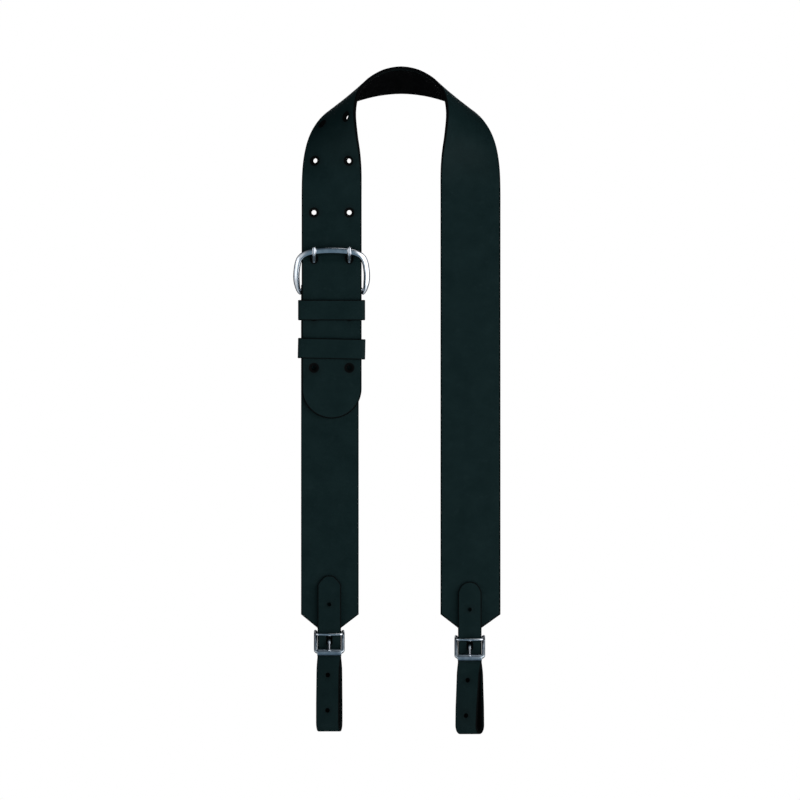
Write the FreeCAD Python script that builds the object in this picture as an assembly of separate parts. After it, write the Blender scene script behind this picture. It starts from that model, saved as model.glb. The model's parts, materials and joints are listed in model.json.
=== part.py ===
import FreeCAD, Part
import math
import os

# Leather instrument strap, all sizes in millimetres, +Z up, wearer's front towards -Y.
# The design frame has y = 0 in the middle of the two hanging legs and z = 0 at the crown.
# Everything is shifted at the end so that the origin is the middle of the crown's underside,
# where the strap lies on the neck.

V = FreeCAD.Vector
X_AXIS = V(1, 0, 0)
Y_AXIS = V(0, 1, 0)

# Long strap
STRAP_WIDTH = 51.0
STRAP_THICKNESS = 3.0
LEG_X = 59.0
CROWN_END_Z = -111.4
LEG_CORNER_Z = -454.0
LEG_POINT_Z = -464.0
HALF = STRAP_THICKNESS / 2

# Crown of the long strap, from its middle down to the right leg: the centreline's x, y, z,
# then how far the width direction turns to the front and rises, in degrees.
CROWN_STATIONS = [
    (0.0, 43.5, 0.0, 90.0, 25.0),
    (15.7, 41.3, -1.8, 80.0, 25.0),
    (29.7, 35.2, -6.3, 68.5, 25.4),
    (41.4, 26.2, -12.3, 59.0, 24.6),
    (50.2, 16.0, -20.8, 54.0, 21.0),
    (55.5, 7.1, -32.8, 48.0, 13.0),
    (57.7, 1.6, -47.6, 36.5, 4.0),
    (58.4, 0.0, -63.5, 21.4, 0.0),
    (58.8, 0.0, -79.5, 8.3, 0.0),
    (59.0, 0.0, -95.4, 1.3, 0.0),
    (59.0, 0.0, CROWN_END_Z, 0.0, 0.0),
]

# Adjusting holes of the long strap's left leg
HOLE_RADIUS = 2.0
HOLE_SPREAD = 30.0
HOLE_PITCH = 44.0
CROWN_HOLE_PITCH = 35.0
FIRST_HOLE_Z = -68.5
HOLE_ROWS_BELOW = 5
BUCKLED_ROW = 2
BUCKLED_SLOT_TOP = -153.6
BUCKLED_SLOT_BOTTOM = -168.6
BUCKLED_SLOT_WIDTH = 4.6
TIP_END_Z = -287.6
TIP_Y = -4.2
TIP_STEP_TOP = -151.5
TIP_STEP_BOTTOM = -163.0
TIP_STEP_BEND = 12.0

# Short strap, which carries the main buckle
SHORT_WIDTH = 49.0
SHORT_X = -60.5
SKIVED = 2.0
SHORT_SKIVE_Z = -186.0
TURNBACK_END_Z = -250.0
TURNBACK_RIVETS_X = (-12.0, 12.0)
TURNBACK_RIVETS_Z = (-212.0, -235.0)

# Main buckle
BUCKLE_X = -LEG_X
BUCKLE_BAR_Y = 3.9
BUCKLE_BAR_Z = -178.0
BUCKLE_BAR_R = 2.25
BUCKLE_WIDTH = 65.2
BUCKLE_RAIL = 5.2
BUCKLE_DEPTH = 4.0
BUCKLE_REACH = 34.6
BUCKLE_TILT = 16.0
BUCKLE_TOP_BAR = 5.4
BUCKLE_ARCH = 1.2
BUCKLE_CORNER = 15.0
BUCKLE_HEEL = 9.0
BUCKLE_LOW = -3.0
PRONG_R = 1.8
PRONG_EYE_R = 2.35
PRONG_EYE_WALL = 1.4
PRONG_EYE_WIDTH = 4.6
PRONG_REACH = 39.0
PRONG_TILT = 22.9

# Leather keepers round both straps
KEEPER_LEATHER = 2.0
KEEPER_INNER_WIDTH = 53.0
KEEPER_FRONT_Y = -6.1
KEEPER_BACK_Y = 4.9
KEEPER_HEIGHT = 16.5
KEEPER_OUTER_CORNER = 3.0
KEEPER_INNER_CORNER = 1.2
KEEPER_TOPS = {"upper": -187.2, "lower": -220.0}
KEEPER_TILTS = {"upper": 0.0, "lower": 1.2}
STAPLE_WIRE = 0.6
STAPLE_HALF = 3.2
STAPLE_LEG = 1.5

# Rivets
RIVET_SHANK_R = 1.5
RIVET_HEAD_R = 4.0
RIVET_HEAD = 0.8
RIVET_FIT = 0.05

# The two buckled end loops
END_STRAP_WIDTH = 20.0
END_LEATHER = 2.5
END_HOLE_R = 1.9
END_HOLE_PITCH = 30.0
END_FIRST_HOLE_Z = -445.6
END_SLOT_ABOVE = 5.0
END_SLOT_BELOW = 4.4
END_CORNER = 6.0
END_BACK_TOP_Z = -428.0
END_BACK_Y = 4.95
END_FRONT_Y = -2.95
ENDS = {
    "left": {"x": -61.0, "drop": 0.0, "tip_z": -421.0, "loop_z": -553.5},
    "right": {"x": 58.4, "drop": 4.4, "tip_z": -426.2, "loop_z": -555.8},
}
END_BAR_Y = 2.65
END_BAR_Z = -470.0
END_BAR_R = 1.5
ROLLER_Y = -7.5
ROLLER_Z = -486.5
ROLLER_R = 3.0
ROLLER_BORE = 1.56
END_FRAME_WIDTH = 26.2
END_RAIL = 2.4
END_FRAME_DEPTH = 3.0
END_PRONG_R = 1.4
END_RIVETS_Z = (-437.5, -452.5)
WIRE_R = 0.9
WIRE_FRONT_Y = -6.2
WIRE_FRONT_Z = -470.9
LOOP_TOP_Z = -491.5
LOOP_GAP = 1.9
LOOP_BEND = 7.0
LOOP_BACK_Y = 9.0
LOOP_FRONT_Y = -5.0
LOOP_SWELL = 22.0
TAB_END_Z = -432.0

# Middle of the crown's underside in the design frame
SADDLE_DROP = HALF
SADDLE_RISE = math.radians(CROWN_STATIONS[0][4])
ORIGIN = V(0, 43.5 - SADDLE_DROP * math.sin(SADDLE_RISE), -SADDLE_DROP * math.cos(SADDLE_RISE))


def box(x0, x1, y0, y1, z0, z1):
    return Part.makeBox(x1 - x0, y1 - y0, z1 - z0, V(x0, y0, z0))


def rod(radius, start, end):
    along = end - start
    return Part.makeCylinder(radius, along.Length, start, along)


def prism(outline, y0, y1):
    """Solid from a closed (x, z) outline, between two y planes."""
    points = [V(x, y0, z) for x, z in outline]
    face = Part.Face(Part.makePolygon(points + points[:1]))
    return face.extrude(V(0, y1 - y0, 0))


def bend_path(points, radii):
    """Straight runs and tangent arcs through (y, z) corner points."""
    pieces = []
    corners = [V(0, y, z) for y, z in points]
    start = corners[0]
    for before, corner, after, radius in zip(corners, corners[1:], corners[2:], radii):
        into = (corner - before).normalize()
        out = (after - corner).normalize()
        turn = into.getAngle(out)
        reach = radius * math.tan(turn / 2)
        first = corner - into * reach
        last = corner + out * reach
        inward = (out - into).normalize()
        centre = corner + inward * (radius / math.cos(turn / 2))
        middle = centre - inward * radius
        if (first - start).Length > 1e-4:
            pieces.append(("line", start, first))
        pieces.append(("arc", first, middle, last, centre))
        start = last
    pieces.append(("line", start, corners[-1]))
    return pieces


def strap(points, radii, thickness, x, width):
    """Leather of even thickness that follows a bent path in the (y, z) plane."""
    pieces = bend_path(points, radii)
    sides = []
    for sign in (1, -1):
        edges = []
        for piece in pieces:
            if piece[0] == "line":
                along = (piece[2] - piece[1]).normalize()
                shift = V(0, -along.z, along.y) * (sign * thickness / 2)
                edges.append((piece[1] + shift, piece[2] + shift))
            else:
                first, middle, last, centre = piece[1:]
                radius = (first - centre).Length
                into = (middle - first).cross(last - middle).x
                grow = -sign if into > 0 else sign
                scale = (radius + grow * thickness / 2) / radius
                edges.append(tuple(centre + (p - centre) * scale for p in (first, middle, last)))
        sides.append(edges)
    shapes = []
    for edges in sides:
        for ends in edges:
            curve = Part.LineSegment(*ends) if len(ends) == 2 else Part.Arc(*ends)
            shapes.append(curve.toShape())
    shapes.append(Part.LineSegment(sides[0][0][0], sides[1][0][0]).toShape())
    shapes.append(Part.LineSegment(sides[0][-1][-1], sides[1][-1][-1]).toShape())
    face = Part.Face(Part.Wire(Part.__sortEdges__(shapes)))
    face.translate(V(x - width / 2, 0, 0))
    return face.extrude(V(width, 0, 0))


def tip_outline(x, width, z_end, z_other, corner):
    """Prism that leaves a strap end with rounded corners."""
    top, bottom = max(z_end, z_other), min(z_end, z_other)
    block = box(x - width / 2, x + width / 2, -40, 40, bottom, top)
    edges = [e for e in block.Edges
             if abs(e.Length - 80) < 1e-6 and abs(e.CenterOfMass.z - z_end) < 1e-6]
    return block.makeFillet(corner, edges)


def crown_frame():
    """Centreline points, width directions, grain normals and parameters, right leg to left."""
    right = []
    for x, y, z, turn, rise in reversed(CROWN_STATIONS):
        turn, rise = math.radians(turn), math.radians(rise)
        width = V(-math.cos(turn) * math.cos(rise), -math.sin(turn) * math.cos(rise), math.sin(rise))
        right.append((V(x, y, z), width))
    left = [(V(-p.x, p.y, p.z), V(-w.x, w.y, w.z)) for p, w in reversed(right[:-1])]
    stations = right + left
    centre = Part.BSplineCurve()
    points = [p for p, w in stations]
    centre.interpolate(Points=points, InitialTangent=V(0, 0, 1), FinalTangent=V(0, 0, -1))
    rows = []
    for point, width in stations:
        at = centre.parameter(point)
        normal = centre.tangent(at)[0].cross(width).normalize()
        rows.append((point, width, normal, at))
    return centre, rows


def crown():
    """Bent-over middle of the long strap, lofted through one rectangle at each station."""
    sections = []
    for point, width, normal, at in crown_frame()[1]:
        ring = [point + width * (side * STRAP_WIDTH / 2) + normal * (skin * HALF)
                for side, skin in ((-1, -1), (1, -1), (1, 1), (-1, 1))]
        sections.append(Part.makePolygon(ring + ring[:1]))
    return Part.makeLoft(sections, True)


def crown_holes():
    """The pair of holes above the first flat pair, drilled square to the leather."""
    centre, rows = crown_frame()
    length = centre.length()
    at = centre.parameterAtDistance(length - (CROWN_HOLE_PITCH + FIRST_HOLE_Z - CROWN_END_Z), 0)
    point = centre.value(at)
    first, second = sorted(rows, key=lambda row: abs(row[3] - at))[:2]
    share = (at - first[3]) / (second[3] - first[3])
    width = (first[1] * (1 - share) + second[1] * share).normalize()
    normal = (first[2] * (1 - share) + second[2] * share).normalize()
    drills = []
    for side in (-1, 1):
        middle = point + width * (side * HOLE_SPREAD / 2)
        drills.append(rod(HOLE_RADIUS, middle - normal * 6, middle + normal * 6))
    return drills


def hole_pair(z):
    drills = []
    for side in (-1, 1):
        x = -LEG_X + side * HOLE_SPREAD / 2
        drills.append(rod(HOLE_RADIUS, V(x, -12, z), V(x, 12, z)))
    return drills


def long_slot(x, width, z_top, z_bottom):
    slot = box(x - width / 2, x + width / 2, -20, 20, z_bottom + width / 2, z_top - width / 2)
    for z in (z_top - width / 2, z_bottom + width / 2):
        slot = slot.fuse(rod(width / 2, V(x, -20, z), V(x, 20, z)))
    return slot


def flat_leg(leg_x, leg_width, top, end):
    """Flat leg with its lower corners cut off down to the narrow tab."""
    half_tab = END_STRAP_WIDTH / 2 + 0.5
    return prism([
        (leg_x - leg_width / 2, top),
        (leg_x + leg_width / 2, top),
        (leg_x + leg_width / 2, LEG_CORNER_Z),
        (end["x"] + half_tab, LEG_POINT_Z),
        (end["x"] - half_tab, LEG_POINT_Z),
        (leg_x - leg_width / 2, LEG_CORNER_Z),
    ], -HALF, HALF)


def tab(end):
    """Narrow tab that folds back round the end buckle's hinge bar, with the prong's slot."""
    bar_z = END_BAR_Z - end["drop"]
    low = bar_z - END_BAR_Y
    back = STRAP_THICKNESS / 2 + SKIVED / 2 + 0.15
    loop = strap(
        [(0, LEG_POINT_Z + 1), (0, low), (2 * END_BAR_Y, low), (2 * END_BAR_Y, bar_z + 2.5),
         (back, bar_z + 10), (back, TAB_END_Z - end["drop"])],
        [END_BAR_Y - 1e-4, END_BAR_Y - 1e-4, 4, 4], SKIVED, end["x"], END_STRAP_WIDTH)
    slot_half = END_PRONG_R + 0.8
    slot = box(end["x"] - slot_half, end["x"] + slot_half, -5, 12, low - 5, bar_z + 4.5)
    return loop.cut(slot)


def rivet_drills(places, y0, y1):
    return [rod(RIVET_SHANK_R + RIVET_FIT, V(x, y0, z), V(x, y1, z)) for x, z in places]


def end_rivet_places(end):
    return [(end["x"], z - end["drop"]) for z in END_RIVETS_Z]


def main_rivet_places():
    return [(SHORT_X + side, z) for side in TURNBACK_RIVETS_X for z in TURNBACK_RIVETS_Z]


def long_strap():
    right = ENDS["right"]
    leg = flat_leg(LEG_X, STRAP_WIDTH, CROWN_END_Z, right).fuse(tab(right))
    buckled = strap(
        [(0, CROWN_END_Z), (0, TIP_STEP_TOP), (TIP_Y, TIP_STEP_BOTTOM), (TIP_Y, TIP_END_Z)],
        [TIP_STEP_BEND, TIP_STEP_BEND], STRAP_THICKNESS, -LEG_X, STRAP_WIDTH)
    buckled = buckled.common(tip_outline(-LEG_X, STRAP_WIDTH, TIP_END_Z, -50, STRAP_WIDTH / 2 - 0.05))
    body = crown().fuse([leg, buckled])
    drills = crown_holes() + rivet_drills(end_rivet_places(right), -5, 8)
    for row in range(HOLE_ROWS_BELOW):
        z = FIRST_HOLE_Z - row * HOLE_PITCH
        if row == BUCKLED_ROW:
            for x in prong_places():
                drills.append(long_slot(x, BUCKLED_SLOT_WIDTH, BUCKLED_SLOT_TOP, BUCKLED_SLOT_BOTTOM))
        else:
            drills += hole_pair(z)
    return body.cut(drills).removeSplitter()


def prong_places():
    return (-LEG_X - HOLE_SPREAD / 2, -LEG_X + HOLE_SPREAD / 2)


def short_strap():
    left = ENDS["left"]
    body = flat_leg(SHORT_X, SHORT_WIDTH, SHORT_SKIVE_Z, left).fuse(tab(left))
    wrap = BUCKLE_BAR_R + 0.15 + SKIVED / 2
    front = BUCKLE_BAR_Y - wrap
    behind = BUCKLE_BAR_Y + wrap
    over = BUCKLE_BAR_Z + wrap
    back = HALF + SKIVED / 2 + 0.1
    fold = strap(
        [(front, SHORT_SKIVE_Z - 1), (front, over), (behind, over), (behind, BUCKLE_BAR_Z - 1.0),
         (back, SHORT_SKIVE_Z), (back, TURNBACK_END_Z)],
        [wrap - 1e-4, wrap - 1e-4, 3, 3], SKIVED, SHORT_X, SHORT_WIDTH)
    body = body.fuse(fold)
    drills = rivet_drills(main_rivet_places(), -5, 8) + rivet_drills(end_rivet_places(left), -5, 8)
    slot_half = PRONG_EYE_WIDTH / 2 + 0.7
    for x in prong_places():
        drills.append(box(x - slot_half, x + slot_half, -6, 12, SHORT_SKIVE_Z + 3.5, over + 5))
    return body.cut(drills).removeSplitter()


def tilted(shape, degrees, y, z):
    """Turn a shape built about the x axis forward by an angle, then put it on a bar."""
    shape.rotate(V(0, 0, 0), X_AXIS, degrees)
    shape.translate(V(0, y, z))
    return shape


def main_buckle_frame():
    """One closed ring: arched top bar, two rails and the round bar that the short strap holds."""
    half = BUCKLE_WIDTH / 2
    top = BUCKLE_REACH + BUCKLE_TOP_BAR / 2
    low = BUCKLE_LOW
    depth = BUCKLE_DEPTH / 2
    corner, heel = BUCKLE_CORNER, BUCKLE_HEEL
    arc = math.sqrt(0.5)
    outer = [
        Part.LineSegment(V(-half, -depth, low + heel), V(-half, -depth, top - corner)),
        Part.Arc(V(-half, -depth, top - corner),
                 V(-half + corner * (1 - arc), -depth, top - corner * (1 - arc)),
                 V(-half + corner, -depth, top)),
        Part.Arc(V(-half + corner, -depth, top), V(0, -depth, top + BUCKLE_ARCH),
                 V(half - corner, -depth, top)),
        Part.Arc(V(half - corner, -depth, top),
                 V(half - corner * (1 - arc), -depth, top - corner * (1 - arc)),
                 V(half, -depth, top - corner)),
        Part.LineSegment(V(half, -depth, top - corner), V(half, -depth, low + heel)),
        Part.Arc(V(half, -depth, low + heel),
                 V(half - heel * (1 - arc), -depth, low + heel * (1 - arc)),
                 V(half - heel, -depth, low)),
        Part.LineSegment(V(half - heel, -depth, low), V(-half + heel, -depth, low)),
        Part.Arc(V(-half + heel, -depth, low),
                 V(-half + heel * (1 - arc), -depth, low + heel * (1 - arc)),
                 V(-half, -depth, low + heel)),
    ]
    ring = Part.Face(Part.Wire([c.toShape() for c in outer])).extrude(V(0, BUCKLE_DEPTH, 0))
    inner = half - BUCKLE_RAIL
    under = top - BUCKLE_TOP_BAR
    inner_corner = corner - BUCKLE_RAIL
    window = [
        Part.LineSegment(V(-inner, -9, low - 5), V(-inner, -9, under - inner_corner)),
        Part.Arc(V(-inner, -9, under - inner_corner),
                 V(-inner + inner_corner * (1 - arc), -9, under - inner_corner * (1 - arc)),
                 V(-inner + inner_corner, -9, under)),
        Part.Arc(V(-inner + inner_corner, -9, under), V(0, -9, under + BUCKLE_ARCH),
                 V(inner - inner_corner, -9, under)),
        Part.Arc(V(inner - inner_corner, -9, under),
                 V(inner - inner_corner * (1 - arc), -9, under - inner_corner * (1 - arc)),
                 V(inner, -9, under - inner_corner)),
        Part.LineSegment(V(inner, -9, under - inner_corner), V(inner, -9, low - 5)),
        Part.LineSegment(V(inner, -9, low - 5), V(-inner, -9, low - 5)),
    ]
    hollow = Part.Face(Part.Wire([c.toShape() for c in window])).extrude(V(0, 18, 0))
    ring = ring.cut(hollow)
    ring = ring.fuse(rod(BUCKLE_BAR_R, V(-inner - 1, 0, 0), V(inner + 1, 0, 0)))
    ring.translate(V(BUCKLE_X, 0, 0))
    return tilted(ring, BUCKLE_TILT, BUCKLE_BAR_Y, BUCKLE_BAR_Z)


def prong(x, y, z, radius, eye_r, wall, eye_width, reach, degrees):
    """Straight tongue with a ball tip and a flat eye that turns on a bar."""
    outer = eye_r + wall
    eye = rod(outer, V(x - eye_width / 2, 0, 0), V(x + eye_width / 2, 0, 0))
    shank = rod(radius, V(x, 0, 0), V(x, 0, reach - radius))
    tip = Part.makeSphere(radius, V(x, 0, reach - radius))
    body = eye.fuse([shank, tip])
    body = body.cut(rod(eye_r, V(x - eye_width, 0, 0), V(x + eye_width, 0, 0)))
    return tilted(body.removeSplitter(), degrees, y, z)


def rounded_tube(x, width, y0, y1, z0, z1, corner):
    block = box(x - width / 2, x + width / 2, y0, y1, z0, z1)
    edges = [e for e in block.Edges if abs(e.Length - (z1 - z0)) < 1e-6 and e.tangentAt(0).z ** 2 > 0.9]
    return block.makeFillet(corner, edges)


def keeper(name):
    """Closed leather band round both straps."""
    top = KEEPER_TOPS[name]
    low = top - KEEPER_HEIGHT
    x = -LEG_X - 0.05
    wall = KEEPER_LEATHER
    outer = rounded_tube(x, KEEPER_INNER_WIDTH + 2 * wall, KEEPER_FRONT_Y - wall,
                         KEEPER_BACK_Y + wall, low, top, KEEPER_OUTER_CORNER)
    hollow = rounded_tube(x, KEEPER_INNER_WIDTH, KEEPER_FRONT_Y, KEEPER_BACK_Y, low - 1, top + 1,
                          KEEPER_INNER_CORNER)
    return turned(outer.cut(hollow), name)


def turned(shape, name):
    middle = V(-LEG_X, 0, KEEPER_TOPS[name] - KEEPER_HEIGHT / 2)
    shape.rotate(middle, Y_AXIS, KEEPER_TILTS[name])
    return shape


def keeper_staple(name):
    """Wire staple that closes the band behind the short strap."""
    middle = KEEPER_TOPS[name] - KEEPER_HEIGHT / 2
    y = KEEPER_BACK_Y + KEEPER_LEATHER
    wire = STAPLE_WIRE
    low, high = middle - wire / 2, middle + wire / 2
    left, right = SHORT_X - STAPLE_HALF, SHORT_X + STAPLE_HALF
    bridge = box(left, right, y, y + wire, low, high)
    legs = [box(start, start + wire, y - STAPLE_LEG, y, low, high) for start in (left, right - wire)]
    return turned(bridge.fuse(legs).removeSplitter(), name)


def rivet_posts(places, front, back):
    posts = []
    for x, z in places:
        head = rod(RIVET_HEAD_R, V(x, front, z), V(x, front - RIVET_HEAD, z))
        shank = rod(RIVET_SHANK_R, V(x, front - RIVET_HEAD, z), V(x, back, z))
        posts.append(head.fuse(shank).removeSplitter())
    return Part.makeCompound(posts)


def rivet_caps(places, back):
    caps = []
    for x, z in places:
        cap = rod(RIVET_HEAD_R, V(x, back, z), V(x, back + RIVET_HEAD, z))
        rim = [e for e in cap.Edges if abs(e.CenterOfMass.y - back - RIVET_HEAD) < 1e-6]
        caps.append(cap.makeFillet(0.5, rim))
    return Part.makeCompound(caps)


def end_strap_path(end):
    """(y, z) corner points and bend radii of the narrow strap, split where the loop begins."""
    drop = end["drop"]
    bar = END_BAR_Z - drop
    roller = ROLLER_Z - drop
    split = LOOP_TOP_Z - drop
    out = 2 * END_BAR_Y + SKIVED / 2 + 0.2 + END_LEATHER / 2
    back, front = END_BACK_Y, END_FRONT_Y
    fixed = [(back, END_BACK_TOP_Z - drop), (back, bar + 11), (out, bar + 3), (out, split + LOOP_GAP / 2)]
    bottom = end["loop_z"] + END_LEATHER / 2
    swell = bottom + LOOP_SWELL
    loop = [(out, split - LOOP_GAP / 2), (out, split - 8), (LOOP_BACK_Y, swell), (LOOP_BACK_Y, bottom),
            (LOOP_FRONT_Y, bottom), (LOOP_FRONT_Y, swell), (front, split - 8), (front, split - LOOP_GAP / 2)]
    tip = [(front, split + LOOP_GAP / 2), (front, roller + 1), (-2.5, bar - 4), (-5.2, bar + 9),
           (-3.3, end["tip_z"])]
    return fixed, loop, tip


def end_strap_holes(end, zs):
    return [rod(END_HOLE_R, V(end["x"], -12, z), V(end["x"], 0, z)) for z in zs]


def end_strap(end):
    """Upper part of the narrow strap: riveted end behind, punched tip in front."""
    fixed, loop, tip = end_strap_path(end)
    x, width = end["x"], END_STRAP_WIDTH
    back = strap(fixed, [8, 8], END_LEATHER, x, width)
    back = back.common(tip_outline(x, width, fixed[0][1], -520, END_CORNER))
    front = strap(tip, [30, 8, 12], END_LEATHER, x, width)
    front = front.common(tip_outline(x, width, end["tip_z"], -520, END_CORNER))
    hole = END_FIRST_HOLE_Z - end["drop"]
    front = front.cut(end_strap_holes(end, [hole]))
    in_use = hole - END_HOLE_PITCH
    slot = long_slot(x, 2 * END_PRONG_R + 1.0, in_use + END_SLOT_ABOVE, in_use - END_SLOT_BELOW)
    slot = slot.common(box(x - 5, x + 5, -12, 0.2, -500, -460))
    front = front.cut(slot)
    back = back.cut(rivet_drills(end_rivet_places(end), 0, 9))
    return Part.makeCompound([back, front])


def end_loop(end):
    """Lower part of the narrow strap: the loop that goes round the instrument's ring."""
    loop = end_strap_path(end)[1]
    body = strap(loop, [10, 12, LOOP_BEND - 1e-4, LOOP_BEND - 1e-4, 12, 10],
                 END_LEATHER, end["x"], END_STRAP_WIDTH)
    first = END_FIRST_HOLE_Z - end["drop"] - 2 * END_HOLE_PITCH
    return body.cut(end_strap_holes(end, [first, first - END_HOLE_PITCH]))


def frame_angle():
    """Lean of the end buckle's frame from hanging straight down, and its length."""
    forward = END_BAR_Y - ROLLER_Y
    down = END_BAR_Z - ROLLER_Z
    return math.degrees(math.atan2(forward, down)), math.hypot(forward, down)


def end_buckle_frame(end):
    """Small closed frame with cut lower corners, a hinge bar and a bar for the roller."""
    degrees, length = frame_angle()
    half = END_FRAME_WIDTH / 2
    inner = half - END_RAIL
    lug = 4.2
    outline = [(-half + 1, lug), (half - 1, lug), (half, lug - 1), (half, -length + 2.6),
               (half - 2.0, -length - 1.6), (-half + 2.0, -length - 1.6), (-half, -length + 2.6),
               (-half, lug - 1)]
    depth = END_FRAME_DEPTH / 2
    plate = prism(outline, -depth, depth)
    window = box(-inner, inner, -9, 9, -length - 9, lug + 9)
    rails = plate.cut(window)
    bars = [rod(END_BAR_R, V(-inner - 0.5, 0, z), V(inner + 0.5, 0, z)) for z in (0, -length)]
    frame = rails.fuse(bars).removeSplitter()
    frame.translate(V(end["x"], 0, 0))
    return tilted(frame, -degrees, END_BAR_Y, END_BAR_Z - end["drop"])


def end_roller(end):
    x = end["x"]
    y, z = ROLLER_Y, ROLLER_Z - end["drop"]
    half = END_FRAME_WIDTH / 2 - END_RAIL - 0.3
    tube = rod(ROLLER_R, V(x - half, y, z), V(x + half, y, z))
    rims = [e for e in tube.Edges if abs(e.Length - 2 * math.pi * ROLLER_R) < 1e-3]
    tube = tube.makeFillet(0.4, rims)
    return tube.cut(rod(ROLLER_BORE, V(x - half - 1, y, z), V(x + half + 1, y, z)))


def end_prong(end):
    """Prong that leaves the hinge bar, passes the strap's hole and rests on the roller."""
    degrees, length = frame_angle()
    clear = ROLLER_R + END_PRONG_R + 0.15
    lean = degrees + math.degrees(math.asin(clear / length))
    reach = length * math.cos(math.asin(clear / length)) + END_PRONG_R + 1.2
    return prong(end["x"], END_BAR_Y, END_BAR_Z - end["drop"], END_PRONG_R, END_BAR_R + 0.1,
                 1.0, 3.4, reach, 180 - lean)


def end_wire_keeper(end):
    """Bent wire that holds the narrow strap's tip down just above its buckle."""
    degrees, length = frame_angle()
    lean = math.radians(degrees)
    lug = 2.6
    half = END_FRAME_WIDTH / 2 - END_RAIL / 2
    start_y = END_BAR_Y + math.sin(lean) * lug
    start_z = END_BAR_Z + math.cos(lean) * lug
    start = V(half, start_y, start_z)
    front = V(half, WIRE_FRONT_Y, WIRE_FRONT_Z)
    along = (front - start).normalize()
    bend = 2.6
    arc = bend * (1 - math.sqrt(0.5))
    points = []
    for side in (1, -1):
        flip = V(side, 1, 1)
        ends = [start, front - along * bend, front - along * arc - X_AXIS * arc, front - X_AXIS * bend]
        points.append([V(p.x * flip.x, p.y, p.z) for p in ends])
    right, left = points
    path = Part.Wire([
        Part.LineSegment(right[0], right[1]).toShape(),
        Part.Arc(right[1], right[2], right[3]).toShape(),
        Part.LineSegment(right[3], left[3]).toShape(),
        Part.Arc(left[3], left[2], left[1]).toShape(),
        Part.LineSegment(left[1], left[0]).toShape(),
    ])
    ring = Part.Wire(Part.Circle(start, along, WIRE_R).toShape())
    wire = path.makePipeShell([ring], True, True)
    wire.translate(V(end["x"], 0, -end["drop"]))
    return wire


def build():
    """Every separate piece by name."""
    prongs = prong_places()
    main_prong = (BUCKLE_BAR_Y, BUCKLE_BAR_Z, PRONG_R, PRONG_EYE_R, PRONG_EYE_WALL,
                  PRONG_EYE_WIDTH, PRONG_REACH, PRONG_TILT)
    pieces = {
        "long_strap": long_strap(),
        "short_strap": short_strap(),
        "main_buckle_frame": main_buckle_frame(),
        "main_prong_left": prong(prongs[0], *main_prong),
        "main_prong_right": prong(prongs[1], *main_prong),
        "turnback_rivet_posts": rivet_posts(main_rivet_places(), -HALF, HALF + SKIVED + 0.1),
        "turnback_rivet_caps": rivet_caps(main_rivet_places(), HALF + SKIVED + 0.1),
    }
    for name in ("upper", "lower"):
        pieces[name + "_keeper"] = keeper(name)
        pieces[name + "_keeper_staple"] = keeper_staple(name)
    for side, end in ENDS.items():
        places = end_rivet_places(end)
        back = END_BACK_Y + END_LEATHER / 2
        pieces[side + "_end_strap"] = end_strap(end)
        pieces[side + "_end_loop"] = end_loop(end)
        pieces[side + "_end_buckle_frame"] = end_buckle_frame(end)
        pieces[side + "_end_roller"] = end_roller(end)
        pieces[side + "_end_prong"] = end_prong(end)
        pieces[side + "_end_wire_keeper"] = end_wire_keeper(end)
        pieces[side + "_end_rivet_posts"] = rivet_posts(places, -HALF, back)
        pieces[side + "_end_rivet_caps"] = rivet_caps(places, back)
    return pieces


os.makedirs("parts", exist_ok=True)
for node, shape in build().items():
    shape.translate(ORIGIN * -1)
    if not shape.isValid():
        print("not valid:", node)
    print(node, len(shape.Solids), "solid(s)", round(shape.Volume, 1), "mm3")
    shape.exportStep("parts/" + node + ".step")
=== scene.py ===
"""Looks of a leather instrument strap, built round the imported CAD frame.

Sizes are millimetres in the same design frame as the CAD: y = 0 in the middle of the hanging
legs and z = 0 at the crown. Each mesh is turned into metres in the row frame when it is made.
"""
import json
import math

import bmesh
import bpy
from mathutils import Matrix, Vector, geometry, noise


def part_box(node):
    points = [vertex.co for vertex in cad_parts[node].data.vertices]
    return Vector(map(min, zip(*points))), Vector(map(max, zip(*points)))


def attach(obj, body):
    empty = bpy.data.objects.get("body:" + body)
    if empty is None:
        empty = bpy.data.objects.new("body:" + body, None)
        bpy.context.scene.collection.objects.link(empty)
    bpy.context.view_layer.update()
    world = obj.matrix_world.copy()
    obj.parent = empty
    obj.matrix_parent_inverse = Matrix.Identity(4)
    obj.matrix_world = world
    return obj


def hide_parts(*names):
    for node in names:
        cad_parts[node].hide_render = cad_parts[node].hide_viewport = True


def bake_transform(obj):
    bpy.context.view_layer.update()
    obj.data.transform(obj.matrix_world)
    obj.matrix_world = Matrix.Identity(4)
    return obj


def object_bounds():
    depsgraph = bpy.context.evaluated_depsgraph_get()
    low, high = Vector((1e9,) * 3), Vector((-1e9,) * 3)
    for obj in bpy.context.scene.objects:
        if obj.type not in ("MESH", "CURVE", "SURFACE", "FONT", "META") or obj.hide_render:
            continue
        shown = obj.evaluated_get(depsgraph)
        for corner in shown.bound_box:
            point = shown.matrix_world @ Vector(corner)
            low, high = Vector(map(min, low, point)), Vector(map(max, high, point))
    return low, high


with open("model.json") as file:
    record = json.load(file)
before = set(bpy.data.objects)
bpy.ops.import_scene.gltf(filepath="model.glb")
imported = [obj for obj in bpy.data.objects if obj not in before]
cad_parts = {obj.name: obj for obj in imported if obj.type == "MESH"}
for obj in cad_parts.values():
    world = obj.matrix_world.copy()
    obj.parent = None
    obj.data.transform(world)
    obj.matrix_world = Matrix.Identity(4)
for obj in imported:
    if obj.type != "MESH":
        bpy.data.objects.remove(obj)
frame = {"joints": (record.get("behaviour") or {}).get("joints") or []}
cad_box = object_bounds()

MM = 0.001
X_AXIS = Vector((1, 0, 0))
Y_AXIS = Vector((0, 1, 0))
Z_AXIS = Vector((0, 0, 1))

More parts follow.
